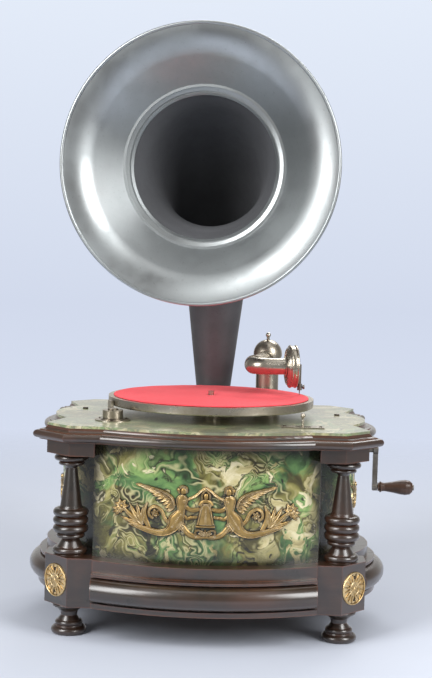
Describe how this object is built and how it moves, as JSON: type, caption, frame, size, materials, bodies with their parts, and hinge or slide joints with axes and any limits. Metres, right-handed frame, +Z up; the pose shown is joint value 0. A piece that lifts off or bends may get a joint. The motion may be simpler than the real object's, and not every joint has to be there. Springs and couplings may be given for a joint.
{
  "type": "disc phonograph",
  "caption": "Table-top disc phonograph: bow-sided case with turned corner columns and gilt mounts, felt turntable, tone arm, side winding crank and an elbow horn with a wide bell.",
  "frame": {"origin": "on the floor under the middle of the part's box", "axes": "+X to the crank side, -Y to the front, +Z up"},
  "size_m": [0.48, 0.4052, 0.7172],
  "materials": {
    "dark_wood": "worn satin varnish",
    "inner_wood": "plain",
    "marbled": "marbled gloss lacquer",
    "gilt": "aged gilt",
    "rosette_gilt": "bright gilt",
    "nickel": "worn nickel plate",
    "motor_steel": "oiled",
    "gear_brass": "cut brass",
    "felt": "felt",
    "bell_silver": "satin silver",
    "horn_grey": "dark satin paint",
    "grip_wood": "handled",
    "screw_steel": "darkened"
  },
  "bodies": {
    "case": {"bottom_board": "inner_wood", "plinth": "dark_wood", "corner_posts": "inner_wood", "top_board": "inner_wood", "top_moulding": "dark_wood", "top_sheet": "marbled", "rosettes": "rosette_gilt", "front_mount": "gilt", "left_mount": "gilt", "right_mount": "gilt", "winding_bush": "gear_brass", "motor_top_plate": "motor_steel", "motor_bottom_plate": "motor_steel", "motor_pillars": "motor_steel", "sound_casting": "nickel", "tone_post": "nickel", "brake_base": "nickel", "speed_plate": "nickel", "case_screws": "screw_steel", "foot_front_left": "dark_wood", "foot_front_right": "dark_wood", "foot_back_left": "dark_wood", "foot_back_right": "dark_wood", "base_block_front_left": "dark_wood", "base_block_front_right": "dark_wood", "base_block_back_left": "dark_wood", "base_block_back_right": "dark_wood", "column_front_left": "dark_wood", "column_front_right": "dark_wood", "column_back_left": "dark_wood", "column_back_right": "dark_wood", "top_block_front_left": "dark_wood", "top_block_front_right": "dark_wood", "top_block_back_left": "dark_wood", "top_block_back_right": "dark_wood", "panel_front": "marbled", "panel_back": "marbled", "panel_left": "marbled", "panel_right": "marbled"},
    "turntable": {"platter": "nickel", "felt_mat": "felt", "spindle": "nickel"},
    "second_wheel": {"second_arbor": "gear_brass"},
    "barrel": {"spring_barrel": "gear_brass"},
    "barrel_shaft": {"barrel_arbor": "motor_steel"},
    "speed_governor": {"governor": "gear_brass"},
    "crank": {"winding_shaft": "motor_steel", "crank_arm": "motor_steel"},
    "grip": {"crank_grip": "grip_wood"},
    "arm": {"tone_arm": "nickel"},
    "sound_head": {"gooseneck": "nickel", "sound_box": "nickel", "needle_bar": "motor_steel"},
    "brake": {"brake_lever": "nickel"},
    "speed_knob": {"speed_lever": "nickel"},
    "horn": {"horn_ferrule": "nickel", "horn_elbow": "horn_grey", "horn_collar": "nickel", "horn_bell": "bell_silver"}
  },
  "joints": [
    {"name": "turntable_spin", "type": "hinge", "parent": "case", "child": "turntable", "pos_m": [-0.021, 0.00338, 0.26], "axis": [0, 0, 1], "continuous": true},
    {"name": "second_wheel_spin", "type": "hinge", "parent": "case", "child": "second_wheel", "pos_m": [0.02045, 0.00758, 0.19], "axis": [0, 0, 1], "continuous": true},
    {"name": "barrel_spin", "type": "hinge", "parent": "case", "child": "barrel", "pos_m": [0.05898, 0.04638, 0.16], "axis": [0, 0, 1], "continuous": true},
    {"name": "governor_spin", "type": "hinge", "parent": "case", "child": "speed_governor", "pos_m": [-0.06006, 0.00338, 0.17], "axis": [0, 0, 1], "continuous": true},
    {"name": "crank_turn", "type": "hinge", "parent": "case", "child": "crank", "pos_m": [0.159, 0.04638, 0.2], "axis": [1, 0, 0], "continuous": true},
    {"name": "barrel_shaft_spin", "type": "hinge", "parent": "case", "child": "barrel_shaft", "pos_m": [0.05898, 0.04638, 0.2], "axis": [0, 0, 1], "continuous": true},
    {"name": "grip_spin", "type": "hinge", "parent": "crank", "child": "grip", "pos_m": [0.209, 0.04638, 0.152], "axis": [1, 0, 0], "continuous": true},
    {"name": "arm_swing", "type": "hinge", "parent": "case", "child": "arm", "pos_m": [0.051, 0.13039, 0.305], "axis": [0, 0, -1], "range_deg": [-10, 25]},
    {"name": "head_lift", "type": "hinge", "parent": "arm", "child": "sound_head", "pos_m": [0.051, 0.13039, 0.305], "axis": [-0.2079, -0.9781, 0], "range_deg": [0, 100]},
    {"name": "brake_turn", "type": "hinge", "parent": "case", "child": "brake", "pos_m": [-0.135, -0.08462, 0.255], "axis": [0, 0, 1], "range_deg": [0, 25]},
    {"name": "speed_slide", "type": "slide", "parent": "case", "child": "speed_knob", "axis": [1, 0, 0], "range_m": [-0.007, 0.007]},
    {"name": "horn_swivel", "type": "hinge", "parent": "case", "child": "horn", "pos_m": [-0.021, 0.15938, 0.26], "axis": [0, 0, 1], "range_deg": [-60, 60]}
  ],
  "couplings": [
    {"joint": "second_wheel_spin", "follows": "turntable_spin", "ratio": -0.33333},
    {"joint": "barrel_spin", "follows": "turntable_spin", "ratio": 0.055556},
    {"joint": "governor_spin", "follows": "turntable_spin", "ratio": -4},
    {"joint": "barrel_shaft_spin", "follows": "crank_turn", "ratio": -0.33333}
  ]
}
